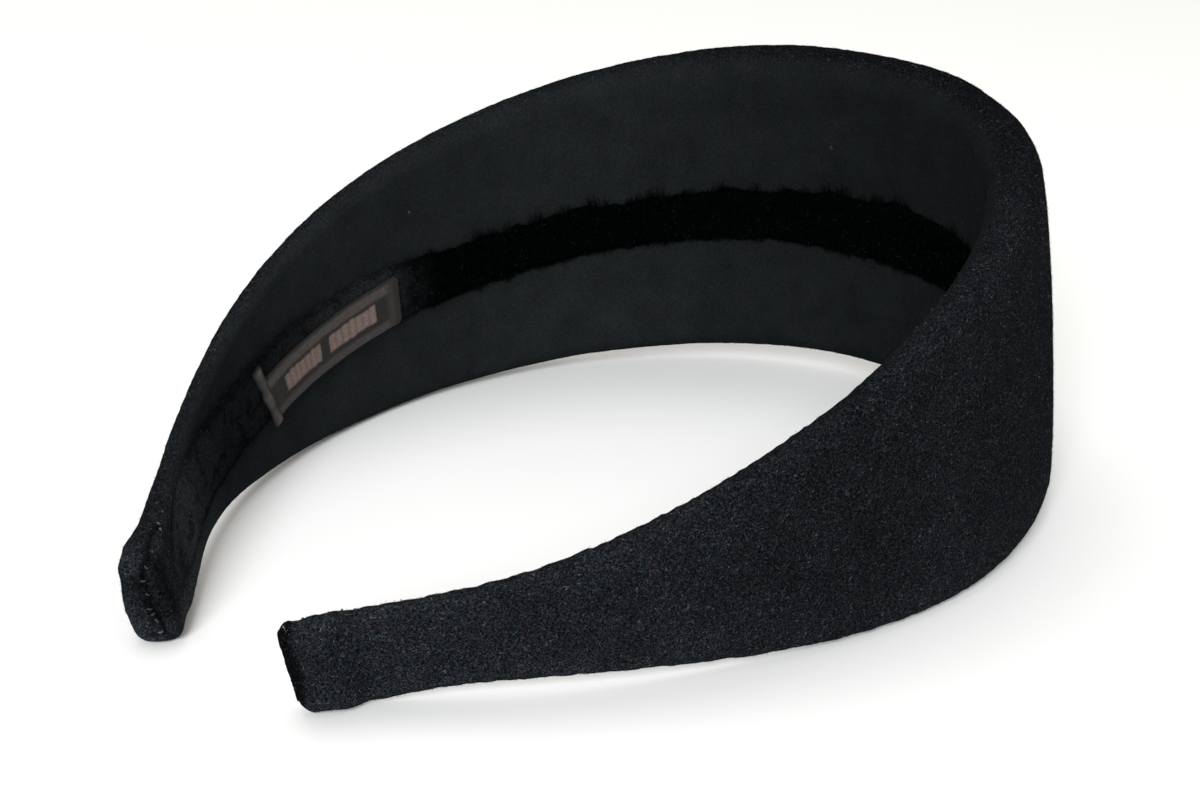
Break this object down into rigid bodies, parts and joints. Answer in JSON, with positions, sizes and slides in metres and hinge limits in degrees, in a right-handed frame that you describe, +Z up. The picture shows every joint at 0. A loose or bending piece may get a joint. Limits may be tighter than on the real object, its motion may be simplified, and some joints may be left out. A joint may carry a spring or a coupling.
{
  "type": "padded headband",
  "caption": "Wide padded headband covered in wool felt, with a pile ribbon and a small woven label along its inner face.",
  "frame": {"origin": "on the surface that the band rests on, in the middle of its bounding box as seen from above", "axes": "+X from between the two tips towards the crown, +Y towards the arm that carries the label, +Z up as the band rests on its lower edge and its tips"},
  "size_m": [0.1606, 0.1132, 0.0613],
  "materials": {
    "felt": "matte wool felt, near black with pale grey fibres",
    "velvet": "short-pile black velvet ribbon",
    "label": "flat woven tape with pale bars"
  },
  "bodies": {
    "root": {"felt_band": "felt", "velvet_ribbon": "velvet", "woven_label": "label"}
  },
  "joints": []
}
